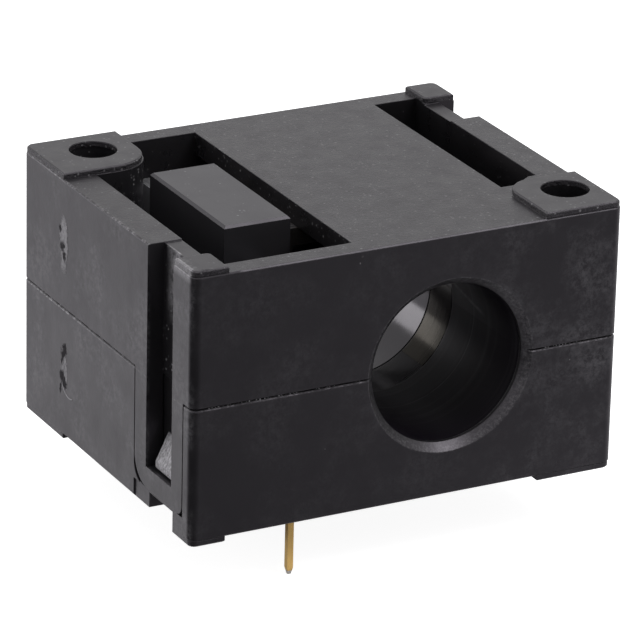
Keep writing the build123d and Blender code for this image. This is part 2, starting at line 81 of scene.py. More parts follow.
# Torn spots of the gate marks: y, z, half width, half height and softness
TORN_PATCHES = ((9.05, -6.5, 0.38, 1.5, 0.3), (9.8, -6.1, 0.35, 0.6, 0.6))
TORN_PITS = ((10.0, 6.6, 0.32, 0.45, 0.5), (9.5, 6.75, 0.25, 0.4, 0.5), (9.45, 5.7, 0.36, 0.55, 0.5),
             (10.3, 8.3, 0.2, 0.3, 0.5), (9.35, -4.3, 0.42, 0.75, 0.5), (9.75, -4.75, 0.45, 0.5, 0.5),
             (9.9, -5.6, 0.22, 0.5, 0.5), (9.9, -7.3, 0.5, 0.5, 0.5), (9.3, -7.9, 0.28, 0.6, 0.5),
             (10.15, -8.6, 0.2, 0.5, 0.5))

# Rings of the front sleeve, the painted reflection of a pale streak that slopes along it, and the thin sheet with a
# painted warm reflection between joint and first ring
RING_Y, SECOND_RING_Y = -4.6 * MM, -9.0 * MM
REFLECTED_STREAK_SLOPE, REFLECTED_STREAK_Y, REFLECTED_STREAK_Z = 0.22, -8.0 * MM, 3.36 * MM
WARM_SHEET_TURNS = (math.radians(-52), math.radians(10))
WARM_SHEET_STEPS = 32
WARM_SHEET_END_GAP = 0.12 * MM

PLASTIC_IOR = 1.5
# Colours that only shade another one
SCRAPED_WHITE = "#DCDADF"
STEEL_STAIN = "#3A2F28"
DRAW_MARK = "#A8834C"
NYLON_SHADE = "#B5A884"
EPOXY_FILLER = "#77767A"

# Flakes along the seam: their height, how far it wanders, and the noise below which a stretch stays bare
FLASH_HEIGHT, FLASH_WANDER, BARE_BELOW = 0.07 * MM, 0.05 * MM, -0.08
CHIP_LEADS = 1.0 * MM
END_CAP = 0.55 * MM
LEAD_PITCH = 1.27 * MM
LEAD_STEPS = (-1.5, -0.5, 0.5, 1.5)
SHEET_SLIP = 0.03 * MM

# Shades that the floor shows in reflections, by the direction from the front left corner in degrees
FLOOR_SHADES = ((-180, 0.03), (-105, 0.04), (-62, 0.33), (-30, 0.38), (0, 0.8), (50, 0.8), (62, 0.3), (84, 0.28),
                (94, 0.91), (130, 0.9), (148, 0.3), (165, 0.03))
FLOOR_HALF = 4.0
# Lamps: name, place, size and the setting that holds the power
LAMPS = (("top_lamp", (-0.1, 0.2, 0.7), 0.5, "top_power"),
         ("front_lamp", (0.26, -0.22, 0.49), 0.3, "front_power"),
         ("back_lamp", (-0.39, 0.56, 0.11), 0.24, "back_power"))
# The camera solved from the photograph's edges: its place in mm, and its right, up and forward directions
CAMERA_PLACE = (-223.965, -411.624, 187.080)
CAMERA_RIGHT = (0.88628518, -0.4625825, 0.02271573)
CAMERA_UP = (0.154859, 0.34221265, 0.92677354)
CAMERA_AHEAD = (0.43648283, 0.81786792, -0.37493306)


def linear(hex_text):
    """Turns an sRGB hex colour into the linear colour that shaders take."""
    channels = [int(hex_text[place:place + 2], 16) / 255 for place in (1, 3, 5)]
    return [c / 12.92 if c <= 0.04045 else ((c + 0.055) / 1.055) ** 2.4 for c in channels] + [1.0]


def colour_property(name, description, hex_text):
    """A colour that a user can change, with its default given as sRGB hex."""
    return FloatVectorProperty(name=name, description=description, subtype="COLOR", size=4,
                               min=0.0, max=1.0, default=linear(hex_text))


def length_property(name, description, default_mm):
    """A length that a user can change, in metres, with its default given in millimetres."""
    return FloatProperty(name=name, description=description, default=default_mm * MM, min=0.0,
                         unit="LENGTH", precision=5)


class SensorFinishes(bpy.types.PropertyGroup):
    housing: colour_property("Housing", "Black glass-filled moulding of the shells", "#1D1C1E")
    # Also the colour of the pale lines in the bore sleeves, among them the painted reflection of a streak
    scuff_and_reflection: colour_property("Scuffs", "Pale rubbed clouds on the front face", "#69686B")
    # Also the colour of the painted highlights on the seam's lip, the bore's rim and the left top edge
    dust_and_highlight: colour_property("Dust", "Pale specks on the mouldings", "#A3A1A4")
    # Also the colour of the painted highlight along the front pad's left edge
    torn: colour_property("Torn plastic", "Whitened plastic of torn and scraped places", "#A9A7AB")
    sheen: colour_property("Sheen", "Slightly violet tint of the black mouldings' shine", "#FBF3FF")
    # Painted reflection: the warm tint of the reflection on the thin sheet in the front sleeve
    warm_reflection: colour_property("Sleeve film", "Warm tint of the film on the front sleeve's shine", "#FFEACB")
    sleeve: colour_property("Sleeves", "Glossy black lining of the bore", "#110D14")
    # Also the colour that the pockets' inner walls are lightened towards, as painted light
    cover_and_wall_light: colour_property("Cover", "Smooth black cover over the pole gap", "#313033")
    sheet_steel: colour_property("Core sheets", "Varnished silicon steel", "#343234")
    # Painted shade: the dark of torn pits' bottoms, of the step up to the pads, under the front pad and in the void at
    # its corner
    painted_shade: colour_property("Pits", "Shadowed bottoms of torn pits", "#0E0D0F")
    gold: colour_property("Gold", "Gold plating of the pins", "#F2CA80")
    pin_end: colour_property("Pin ends", "Bare sheared metal at the tips of the pins", "#C4C1BC")
    solder_resist: colour_property("Board", "Grey solder resist on glass epoxy", "#A8A8AC")
    glass_epoxy: colour_property("Board edge", "Cut edge of the glass epoxy", "#222123")
    solder: colour_property("Solder", "Tin solder and tinned ends", "#BDBEC0")
    spacer: colour_property("Spacer", "Natural moulded spacer", "#CFC6AC")
    chip: colour_property("Chips", "Black epoxy of the chips", "#1D1D1E")
    tantalum: colour_property("Capacitors", "Yellow epoxy of the capacitors", "#C08A2E")
    glaze: colour_property("Resistors", "Black glaze of the resistors", "#121213")


class SensorSizes(bpy.types.PropertyGroup):
    edge_radius: length_property("Edge radius", "Rounding that catches light on moulded edges", 0.12)
    sheet_pitch: length_property("Sheet pitch", "Distance from one core sheet to the next", 0.504)
    sheet_gap: length_property("Sheet gap", "Varnish gap between core sheets", 0.05)
    core_right_leg: length_property("Core right leg", "Width of the core's right leg", 2.6)
    core_yoke: length_property("Core yoke", "Height of the core's yoke", 1.9)
    solder_radius: length_property("Solder radius", "Radius of the solder on the element's leads", 0.48)
    seam_flake: length_property("Seam flake", "Size of a flake of moulding flash along the seam", 0.2)
    seam_flakes: IntProperty(name="Seam flakes", description="Flakes along the seam of each side", default=110)
    scar_width: length_property("Scar width", "Width of the torn gate marks on the left face", 1.75)


class SensorStage(bpy.types.PropertyGroup):
    floor_colour: colour_property("Floor", "Pale floor", "#E9E9EA")
    floor_glow: FloatProperty(name="Floor glow", description="Whiteness of the floor to the camera", default=0.9)
    room_light: FloatProperty(name="Room light", description="Even light from all round", default=0.3)
    top_power: FloatProperty(name="Top lamp", description="Power of the large lamp above", default=2.4,
                             unit="POWER")
    room_shine: FloatProperty(name="Room shine", description="Brightness of the room in reflections", default=0.86)
    front_power: FloatProperty(name="Front lamp", description="Power of the small lamp high in front",
                               default=1.3, unit="POWER")
    back_power: FloatProperty(name="Back lamp", description="Power of the low lamp behind on the left", default=0.6,
                              unit="POWER")
    focal_length: FloatProperty(name="Focal length", description="Lens of the camera, mm", default=282.216)


def add_node(tree, kind, inputs=(), **settings):
    """Adds a node, sets its properties and gives its inputs, by order or by name, values or links."""
    node = tree.nodes.new(kind)
    for name, value in settings.items():
        setattr(node, name, value)
    for name, value in inputs.items() if isinstance(inputs, dict) else enumerate(inputs):
        if isinstance(value, bpy.types.NodeSocket):
            tree.links.new(value, node.inputs[name])
        else:
            node.inputs[name].default_value = value
    return node


def new_material(name):
    """An empty node material and its tree."""
    material = bpy.data.materials.new(name)
    material.use_nodes = True
    material.node_tree.nodes.clear()
    return material, material.node_tree


def set_surface(tree, inputs):
    """Gives a material its surface shader, with these inputs."""
    shader = add_node(tree, "ShaderNodeBsdfPrincipled", inputs)
    add_node(tree, "ShaderNodeOutputMaterial", {"Surface": shader.outputs["BSDF"]})


def object_place(tree, stretch=(1, 1, 1)):
    """Object coordinates, stretched so that a pattern runs longer one way."""
    place = add_node(tree, "ShaderNodeTexCoord").outputs["Object"]
    return add_node(tree, "ShaderNodeMapping", {"Vector": place, "Scale": stretch}).outputs[0]


def grain(tree, place, size_mm, detail=2.0, roughness=0.5, spread=None):
    """Noise whose features are about size_mm across. The range in spread is drawn out to 0 to 1, or to its own ends."""
    value = add_node(tree, "ShaderNodeTexNoise", {"Vector": place, "Scale": 1 / (size_mm * MM), "Detail": detail,
                                                  "Roughness": roughness}).outputs[0]
    return add_node(tree, "ShaderNodeMapRange", (value, *spread)).outputs[0] if spread else value


def overlap(tree, *masks):
    """Product of masks and strengths, so the share where all of them hold."""
    result = masks[0]
    for mask in masks[1:]:
        result = add_node(tree, "ShaderNodeMath", (result, mask), operation="MULTIPLY").outputs[0]
    return result


def any_of(tree, *masks):
    """The greatest of several masks."""
    result = masks[0]
    for mask in masks[1:]:
        result = add_node(tree, "ShaderNodeMath", (result, mask), operation="MAXIMUM").outputs[0]
    return result


def painted(tree, colour, *layers):
    """A colour with others laid over it in turn, each layer a share from 0 to 1 and a colour."""
    for share, tint in layers:
        colour = add_node(tree, "ShaderNodeMix", {0: share, 6: colour, 7: tint}, data_type="RGBA").outputs[2]
    return colour


def rising(tree, axes, **reaches):
    """Share that goes from 0 to 1 between two places on each axis named, or between two other values given there."""
    return overlap(tree, *[add_node(tree, "ShaderNodeMapRange", (axes["xyz".index(axis)], *reach)).outputs[0]
                           for axis, reach in reaches.items()])


def band(tree, value, middle, half_width, softness):
    """Mask of where a value lies within half_width of the middle."""
    away = add_node(tree, "ShaderNodeMath", (value, -middle)).outputs[0]
    away = add_node(tree, "ShaderNodeMath", (away,), operation="ABSOLUTE").outputs[0]
    ends = (half_width + softness / 2, half_width - softness / 2)
    return add_node(tree, "ShaderNodeMapRange", (away, *ends)).outputs[0]


def near(tree, axes, **planes):
    """Mask near a plane across each axis named, given by its place and, in mm, its half width and softness."""
    return overlap(tree, *[band(tree, axes["xyz".index(axis)], place, half_mm * MM, soft_mm * MM)
                           for axis, (place, half_mm, soft_mm) in planes.items()])


def shaken(tree, place, size_mm, reach_mm):
    """Coordinates pushed about by noise, which gives masks a ragged outline."""
    push = add_node(tree, "ShaderNodeTexNoise", {"Vector": place, "Scale": 1 / (size_mm * MM), "Detail": 3.0})
    push = add_node(tree, "ShaderNodeVectorMath", (push.outputs["Color"], (0.5, 0.5, 0.5)), operation="SUBTRACT")
    push = add_node(tree, "ShaderNodeVectorMath", {0: push.outputs[0], "Scale": 2 * reach_mm * MM}, operation="SCALE")
    return add_node(tree, "ShaderNodeVectorMath", (place, push.outputs[0])).outputs[0]


def specks(tree, place, spacing_mm, radius_share, kept_share):
    """Mask of small scattered specks, some cells of a grid of spacing_mm holding one."""
    loose = shaken(tree, place, 0.3, 0.1)
    cells = add_node(tree, "ShaderNodeTexVoronoi", {"Vector": loose, "Scale": 1 / (spacing_mm * MM)})
    chances = add_node(tree, "ShaderNodeSeparateColor", (cells.outputs["Color"],)).outputs
    size = add_node(tree, "ShaderNodeMapRange", (chances[1], 0.0, 1.0, radius_share * 0.3, radius_share)).outputs[0]
    share = add_node(tree, "ShaderNodeMath", (cells.outputs["Distance"], size), operation="DIVIDE").outputs[0]
    speck = add_node(tree, "ShaderNodeMapRange", (share, 1.0, 0.5)).outputs[0]
    kept = add_node(tree, "ShaderNodeMapRange", (chances[0], 1 - kept_share, 1 - kept_share + 0.02)).outputs[0]
    return overlap(tree, speck, kept)


def spot(tree, place, centre_mm, radii_mm, softness=0.3):
    """Mask of an ellipsoid round a point."""
    scale = [1 / (radius * MM) for radius in radii_mm]
    shift = [-centre / radius for centre, radius in zip(centre_mm, radii_mm)]
    away = add_node(tree, "ShaderNodeMapping", {"Vector": place, "Location": shift, "Scale": scale}).outputs[0]
    away = add_node(tree, "ShaderNodeVectorMath", (away,), operation="LENGTH").outputs["Value"]
    return add_node(tree, "ShaderNodeMapRange", (away, 1 + softness / 2, 1 - softness / 2)).outputs[0]


def rounded_bump(tree, heights, radius):
    """Normal with edges rounded for light by radius, then bumps, given as pairs of height and depth in mm."""
    normal = add_node(tree, "ShaderNodeBevel", {"Radius": radius}, samples=6).outputs[0]
    for height, depth_mm in heights:
        normal = add_node(tree, "ShaderNodeBump", {"Height": height, "Normal": normal, "Strength": 1.0,
                                                   "Distance": depth_mm * MM}).outputs[0]
    return normal


def gate_scars(tree, axes):
    """Masks of two torn gate marks on the left face: pale plastic, pits that are darkened with painted shade and a pale
    curl.
    """
    sizes = bpy.context.scene.sensor_sizes
    flat = add_node(tree, "ShaderNodeCombineXYZ", {"Y": axes[1], "Z": axes[2]}).outputs[0]
    rough = shaken(tree, shaken(tree, flat, 1.2, 0.55), 0.3, 0.42)
    patches = ((SCAR_Y, 7.0, sizes.scar_width / 2 / MM, 2.75, 0.3), *TORN_PATCHES)
    pale, pits = (any_of(tree, *[spot(tree, rough, (0, y, z), (1, wide, high), softness)
                                 for y, z, wide, high, softness in spots]) for spots in (patches, TORN_PITS))
    centred = {"Vector": flat, "Location": (0, -CURL_Y * MM, -CURL_Z * MM)}
    out = add_node(tree, "ShaderNodeMapping", centred).outputs[0]
    out = add_node(tree, "ShaderNodeVectorMath", (out,), operation="LENGTH").outputs["Value"]
    curl = overlap(tree, band(tree, out, CURL_RADIUS * MM, 0.06 * MM, 0.06 * MM),
                   rising(tree, axes, z=(-8.1 * MM, -8.25 * MM), y=(7.45 * MM, 7.6 * MM)))
    on_left = rising(tree, axes, x=LEFT_FACE)
    return [overlap(tree, mask, on_left) for mask in (pale, pits, curl)]


def in_pockets(tree, axes):
    """Mask of the walls inside the top plate's pockets and the side slots."""
    return overlap(tree, near(tree, axes, x=((LEFT + RIGHT) / 2, (RIGHT - LEFT) / 2 / MM - SIDE_WALL, 0.2),
                              y=((FRONT + BACK) / 2, (BACK - FRONT) / 2 / MM - END_WALL, 0.2)),
                   rising(tree, axes, z=(TOP - 0.7 * MM, TOP - 0.9 * MM)))


def rubbed_clouds(tree, place, axes, clouds):
    """Share of pale rubbing: clouds on the front face, stronger to the right, and smears on the left face."""
    wisps = grain(tree, place, 0.7, 6.0, 0.8)
    marks = []
    for face, strength, cloud_ends, wisp_ends in (
            (rising(tree, axes, y=FRONT_FACE, x=(RIGHT - 16 * MM, RIGHT - 3 * MM, 0.25, 1.0)), 0.62,
             (0.42, 0.68), (0.40, 0.62)),
            (rising(tree, axes, x=LEFT_FACE), 0.42, (0.45, 0.6), (0.42, 0.62))):
        cloudy = add_node(tree, "ShaderNodeMapRange", (clouds, *cloud_ends)).outputs[0]
        wispy = add_node(tree, "ShaderNodeMapRange", (wisps, *wisp_ends)).outputs[0]
        marks.append(overlap(tree, cloudy, wispy, face, strength))
    return add_node(tree, "ShaderNodeMath", marks).outputs[0]


def pale_grit(tree, place, axes, inside):
    """Share of grit: in the pockets, on the back left post, on the large pocket's right wall, and a little all over."""
    clusters = grain(tree, place, 3.2, spread=(0.46, 0.56))
    in_clusters = overlap(tree, specks(tree, place, 0.45, 0.36, 0.4), inside, clusters)
    on_post = overlap(tree, specks(tree, place, 0.38, 0.45, 0.5), spot(tree, place, POST_TOP, (2.4, 2.8, 2.3), 0.6))
    on_wall = overlap(tree, specks(tree, place, 0.4, 0.42, 0.45),
                      near(tree, axes, x=(POCKET_RIGHT, 0.25, 0.1), z=(PLATE - 0.75 * MM, 0.75, 0.3)),
                      add_node(tree, "ShaderNodeMapRange", (clusters, 0.0, 1.0, 0.15, 0.8)).outputs[0])
    all_over = overlap(tree, specks(tree, place, 1.7, 0.05, 0.12), 0.4)
    return any_of(tree, overlap(tree, any_of(tree, in_clusters, on_post), 0.6), all_over, on_wall)


def dark_lines(tree, place, axes):
    """Shares of shadow: on the step up to the pads, and under the front pad with the small void at its corner."""
    step = overlap(tree, near(tree, axes, z=(PLATE + PAD * 0.45, PAD * 0.42 / MM, 0.06)),
                   grain(tree, place, 0.3, 4.0, 0.7, (0.35, 0.6)))
    ledge = overlap(tree, near(tree, axes, z=(PLATE - 0.06 * MM, 0.13, 0.04)),
                    rising(tree, axes, x=(LEFT + 5.2 * MM, LEFT + 4.8 * MM),
                           y=(FRONT + 0.16 * MM, FRONT + 0.1 * MM, 0.0, 0.6)))
    void = overlap(tree, spot(tree, shaken(tree, place, 0.4, 0.15), CORNER_VOID, (0.85, 0.5, 0.3)),
                   grain(tree, place, 0.25, 3.0, 0.7, (0.4, 0.55)))
    return step, any_of(tree, ledge, void)


def edge_highlights_and_specks(tree, place, axes, ragged):
    """Share of pale colour: painted highlight on the seam's lip, on the bore's rim and on the left top edge, and pale
    specks on the pads' step.
    """
    lip = overlap(tree, near(tree, axes, z=(SEAM_LIP, 0.08, 0.08)),
                  rising(tree, axes, x=(LEFT + 0.2 * MM, LEFT + 0.1 * MM), y=(2.0 * MM, 9.0 * MM, 0.2, 0.8)),
                  grain(tree, place, 0.5, 4.0, 0.75, (0.42, 0.6)))
    step = overlap(tree, near(tree, axes, z=(PLATE + PAD / 2, PAD / 2 / MM, 0.1)),
                   specks(tree, place, 0.4, 0.4, 0.35), 0.55)
    squares = (overlap(tree, axes[0], axes[0]), overlap(tree, axes[2], axes[2]))
    from_axis = add_node(tree, "ShaderNodeMath", squares).outputs[0]
    rim = overlap(tree, band(tree, from_axis, (BORE_RADIUS + 0.45 * MM) ** 2, 7.5 * MM ** 2, 2 * MM ** 2),
                  rising(tree, axes, y=FRONT_FACE), grain(tree, place, 0.3, 4.0, 0.75, (0.45, 0.7)), 0.22)
    edge = overlap(tree, near(tree, axes, x=(LEFT, 0.22, 0.1), z=(PLATE, 0.14, 0.06)),
                   add_node(tree, "ShaderNodeMapRange", (ragged, 0.5, 0.62)).outputs[0], 0.5)
    return any_of(tree, lip, step, rim, edge)


def catches_and_pale_marks(tree, place, axes, clouds, ragged):
    """The catches' mask; the share of pale colour: scraped plastic on the catches, faint wear and a painted highlight
    along the front pad's left edge, grit in the slot and its floor paler towards the top; and the scratches.
    """
    catches = [near(tree, axes, x=(x, 0.75, 0.1), y=(y, 2.3, 0.1), z=(-7.5 * MM, 1.85, 0.1)) for x, y in SIDE_CATCHES]
    catches = add_node(tree, "ShaderNodeMath", catches).outputs[0]
    scratches = grain(tree, object_place(tree, (1.0, 2.0, 0.7)), 0.4, 5.0, 0.8)
    gritty = any_of(tree, add_node(tree, "ShaderNodeMapRange", (scratches, 0.44, 0.58, 0.22, 0.95)).outputs[0],
                    specks(tree, object_place(tree, (1.0, 3.0, 0.5)), 0.5, 0.3, 0.6))
    pale_marks = overlap(tree, catches, gritty, rising(tree, axes, z=(-5.7 * MM, -6.7 * MM, 0.5, 1.0)))
    faint, strong, in_slot = (add_node(tree, "ShaderNodeMapRange", (ragged, *ends)).outputs[0]
                              for ends in ((0.46, 0.62, 0.0, 0.12), (0.3, 0.6, 0.25, 0.6), (0.38, 0.6, 0.15, 0.75)))
    pad = overlap(tree, near(tree, axes, y=(FRONT + 2.6 * MM, 1.9, 0.4)),
                  rising(tree, axes, z=(TOP - 1.5 * MM, TOP - 0.9 * MM)))
    worn = overlap(tree, pad, near(tree, axes, x=(LEFT + 0.5 * MM, 0.5, 0.3)), faint)
    # Painted highlight along the rounded left edge of the front pad
    pad_edge_highlight = overlap(tree, pad, near(tree, axes, x=(LEFT + 0.18 * MM, 0.22, 0.12)), strong)
    slot = overlap(tree, near(tree, axes, x=(LEFT + 1.8 * MM, 0.15, 0.1)),
                   rising(tree, axes, y=(FRONT + 6.2 * MM, FRONT + 6.6 * MM)))
    uneven_z = add_node(tree, "ShaderNodeMath", (axes[2], overlap(tree, clouds, 3.0 * MM))).outputs[0]
    high = add_node(tree, "ShaderNodeMapRange", (uneven_z, 7.0 * MM, 9.5 * MM)).outputs[0]
    # The slot's floor paler towards its top
    slot_paler_high = overlap(tree, slot, rising(tree, axes, y=(FRONT + 9.5 * MM, FRONT + 7.6 * MM)), high, in_slot)
    slot_grit = overlap(tree, slot, specks(tree, place, 0.4, 0.45, 0.22),
                        rising(tree, axes, y=(FRONT + 10.0 * MM, FRONT + 9.0 * MM), z=(-6.0 * MM, 0.0, 0.3, 0.9)))
    return catches, any_of(tree, pale_marks, worn, pad_edge_highlight, slot_paler_high, slot_grit), scratches


def housing_moulding():
    """Black glass-filled polyester, moulded on a spark-eroded tool: satin, finely grained, with rubbed clouds."""
    finishes, sizes = bpy.context.scene.sensor_finishes, bpy.context.scene.sensor_sizes
    material, tree = new_material("satin_black_moulding")
    place = object_place(tree)
    axes = add_node(tree, "ShaderNodeSeparateXYZ", (place,)).outputs[:]
    clouds, ragged = grain(tree, place, 7.0, 5.0, 0.6), grain(tree, place, 0.45, 4.0, 0.7)
    inside = in_pockets(tree, axes)
    step, ledge = dark_lines(tree, place, axes)
    pale, pits, curl = gate_scars(tree, axes)
    catches, pale_marks, scratches = catches_and_pale_marks(tree, place, axes, clouds, ragged)
    left_pocket_painted_light = rising(tree, axes, x=(POCKET_RIGHT - 0.4 * MM, POCKET_RIGHT - 0.1 * MM, 0.4, 0.0))
    torn = add_node(tree, "ShaderNodeMapRange", (ragged, 0.3, 0.7, 0.45, 1.0)).outputs[0]
    colour = painted(tree, finishes.housing,
                     (rubbed_clouds(tree, place, axes, clouds), finishes.scuff_and_reflection),
                     # Painted light: the walls inside the pockets, left of the large pocket's right wall, lightened
                     # towards the cover's colour
                     (overlap(tree, inside, left_pocket_painted_light), finishes.cover_and_wall_light),
                     (pale_grit(tree, place, axes, inside), finishes.dust_and_highlight),
                     # Painted shadow on the step up to the pads, and under the front pad with the void at its corner
                     (overlap(tree, step, 0.5), finishes.painted_shade),
                     (ledge, finishes.painted_shade),
                     # Painted highlight on the seam's lip, the bore's rim and the left top edge, and pale specks on the
                     # pads' step
                     (edge_highlights_and_specks(tree, place, axes, ragged), finishes.dust_and_highlight),
                     (any_of(tree, overlap(tree, pale, torn), curl), finishes.torn),
                     # Painted shade in the torn pits
                     (overlap(tree, pits, 0.95), finishes.painted_shade),
                     # Scrapes on the catches, with the painted highlight and faint wear on the front pad, and the
                     # slot's pale marks
                     (pale_marks, finishes.torn),
                     (overlap(tree, catches, pale_marks, 0.85), linear(SCRAPED_WHITE)))
    front_lip = overlap(tree, near(tree, axes, z=(SEAM_LIP, 0.12, 0.06)),
                        rising(tree, axes, y=(FRONT + 0.25 * MM, FRONT + 0.2 * MM)),
                        grain(tree, place, 0.6, 4.0, 0.75, (0.38, 0.58)))
    satin = grain(tree, object_place(tree, (1.0, 1.0, 0.6)), 2.2, 4.0, 0.65, (0.3, 0.7, 0.28, 0.40))
    smoother = (satin, overlap(tree, inside, 0.03))
    smooth = add_node(tree, "ShaderNodeMath", smoother, operation="SUBTRACT").outputs[0]
    dull = any_of(tree, *[overlap(tree, mask, strength) for mask, strength in
                          ((pits, 0.65), (pale, 0.35), (ledge, 0.5), (front_lip, 0.4))])
    raised = (overlap(tree, pale, ragged), overlap(tree, curl, 0.6))
    raised = add_node(tree, "ShaderNodeMath", raised).outputs[0]
    scar = add_node(tree, "ShaderNodeMath", (raised, pits), operation="SUBTRACT").outputs[0]
    bumps = [(grain(tree, place, 0.28, 3.0, 0.6), 0.008), (scar, 0.3), (step, 0.05),
             (overlap(tree, pale_marks, scratches), 0.05)]
    set_surface(tree, {"Base Color": colour,
                       "Roughness": add_node(tree, "ShaderNodeMath", (smooth, dull)).outputs[0],
                       "IOR": PLASTIC_IOR,
                       "Specular Tint": finishes.sheen,
                       "Normal": rounded_bump(tree, bumps, sizes.edge_radius)})
    return material


def sleeve_moulding(name, roughness, level, tint):
    """Black polyamide moulded on a polished core pin: glossy, with faint rings round the bore and a painted reflection
    of a pale streak.
    """
    finishes, sizes = bpy.context.scene.sensor_finishes, bpy.context.scene.sensor_sizes
    material, tree = new_material(name)
    place = object_place(tree)
    axes = add_node(tree, "ShaderNodeSeparateXYZ", (place,)).outputs[:]
    rings = grain(tree, object_place(tree, (0.03, 1.0, 0.03)), 0.9, 3.0, 0.55)
    two_rings = [near(tree, axes, y=(ring_y, 0.07, 0.06)) for ring_y in (RING_Y, SECOND_RING_Y)]
    two_rings = overlap(tree, add_node(tree, "ShaderNodeMath", two_rings).outputs[0],
                        grain(tree, place, 1.5, spread=(0.35, 0.6, 0.1, 0.3)))
    # Painted reflection of a pale streak, sloping along the sleeve's right side
    across = (axes[2], overlap(tree, axes[1], REFLECTED_STREAK_SLOPE))
    across = add_node(tree, "ShaderNodeMath", across, operation="SUBTRACT").outputs[0]
    reflected_streak = overlap(tree, band(tree, across, REFLECTED_STREAK_Z, 0.18 * MM, 0.3 * MM), near(tree, axes, y=(REFLECTED_STREAK_Y, 2.6, 1.5)),
                    rising(tree, axes, x=(0.0, 1.0 * MM)), grain(tree, place, 0.7, 3.0, spread=(0.35, 0.6, 0.2, 0.6)))
    lines = any_of(tree, two_rings, add_node(tree, "ShaderNodeMapRange", (rings, 0.5, 0.75, 0.0, 0.14)).outputs[0],
                   reflected_streak)
    worn = rising(tree, axes, y=(RING_Y + 0.2 * MM, RING_Y - 0.2 * MM, 0.0, 0.24))
    out = add_node(tree, "ShaderNodeCombineXYZ", {"X": axes[0], "Z": axes[2]}).outputs[0]
    out = add_node(tree, "ShaderNodeVectorMath", (out,), operation="LENGTH").outputs["Value"]
    outside = (out, BORE_RADIUS + 0.4 * MM, BORE_RADIUS + 0.6 * MM, 0.0, 0.5)
    duller = any_of(tree, worn, add_node(tree, "ShaderNodeMapRange", outside).outputs[0])
    even = grain(tree, place, 1.8, 3.0, spread=(0.3, 0.7, roughness - 0.02, roughness + 0.03))
    set_surface(tree, {"Base Color": painted(tree, finishes.sleeve, (lines, finishes.scuff_and_reflection)),
                       "Roughness": add_node(tree, "ShaderNodeMath", (even, duller)).outputs[0],
                       "IOR": PLASTIC_IOR,
                       "Specular IOR Level": level,
                       "Specular Tint": tint,
                       "Normal": rounded_bump(tree, [(rings, 0.006)], sizes.edge_radius)})
    return material


def cover_moulding():
    """Black polyamide moulded on a smooth tool: a dull gloss, with grit near its top."""
    finishes, sizes = bpy.context.scene.sensor_finishes, bpy.context.scene.sensor_sizes
    material, tree = new_material("smooth_black_moulding")
    place = object_place(tree)
    axes = add_node(tree, "ShaderNodeSeparateXYZ", (place,)).outputs[:]
    gritty = overlap(tree, specks(tree, place, 0.4, 0.4, 0.35), near(tree, axes, z=(COVER_TOP, 0.45, 0.3)),
                     grain(tree, place, 2.4, spread=(0.5, 0.6)))
    dusty = overlap(tree, any_of(tree, specks(tree, place, 1.4, 0.05, 0.2), gritty), 0.5)
    set_surface(tree, {"Base Color": painted(tree, finishes.cover_and_wall_light, (dusty, finishes.dust_and_highlight)),
                       "Roughness": grain(tree, place, 3.0, 4.0, spread=(0.3, 0.7, 0.28, 0.36)),
                       "IOR": PLASTIC_IOR,
                       "Specular IOR Level": 0.41,
                       "Specular Tint": finishes.sheen,
                       "Normal": rounded_bump(tree, [(grain(tree, place, 0.4), 0.004)], sizes.edge_radius / 4)})
    return material


def sheet_steel():
    """Silicon steel, stamped and varnished: dull grey edges with a little burr and stain."""
    finishes = bpy.context.scene.sensor_finishes
    material, tree = new_material("varnished_sheet_steel")
    place = object_place(tree)
    stain = grain(tree, place, 1.6, 5.0, 0.65)
    stained, rough = (add_node(tree, "ShaderNodeMapRange", (stain, *ends)).outputs[0]
                      for ends in ((0.4, 0.75, 0.0, 0.7), (0.3, 0.7, 0.55, 0.75)))
    set_surface(tree, {"Base Color": painted(tree, finishes.sheet_steel, (stained, linear(STEEL_STAIN))),
                       "Metallic": 0.4,
                       "Roughness": rough,
                       "Normal": rounded_bump(tree, [(grain(tree, place, 0.3, 3.0), 0.01)], 0.03 * MM)})
    return material


def gold_plating():
    """Flash gold over nickel on drawn brass: warm, fairly smooth, with faint draw marks along the pin."""
    finishes = bpy.context.scene.sensor_finishes
    material, tree = new_material("gold_plating")
    draw_marks = grain(tree, object_place(tree, (1.0, 1.0, 0.06)), 0.12, 3.0, 0.6)
    marked, rough = (add_node(tree, "ShaderNodeMapRange", (draw_marks, *ends)).outputs[0]
                     for ends in ((0.35, 0.75, 0.0, 0.35), (0.3, 0.7, 0.22, 0.36)))
    axes = add_node(tree, "ShaderNodeSeparateXYZ", (object_place(tree),)).outputs[:]
    sheared = rising(tree, axes, z=(PIN_TIP + 0.45 * MM, PIN_TIP + 0.38 * MM))
    set_surface(tree, {"Base Color": painted(tree, finishes.gold, (marked, linear(DRAW_MARK)),
                                             (sheared, finishes.pin_end)),
                       "Metallic": 1.0,
                       "Roughness": rough,
                       "Normal": rounded_bump(tree, [(draw_marks, 0.004)], 0.05 * MM)})
    return material


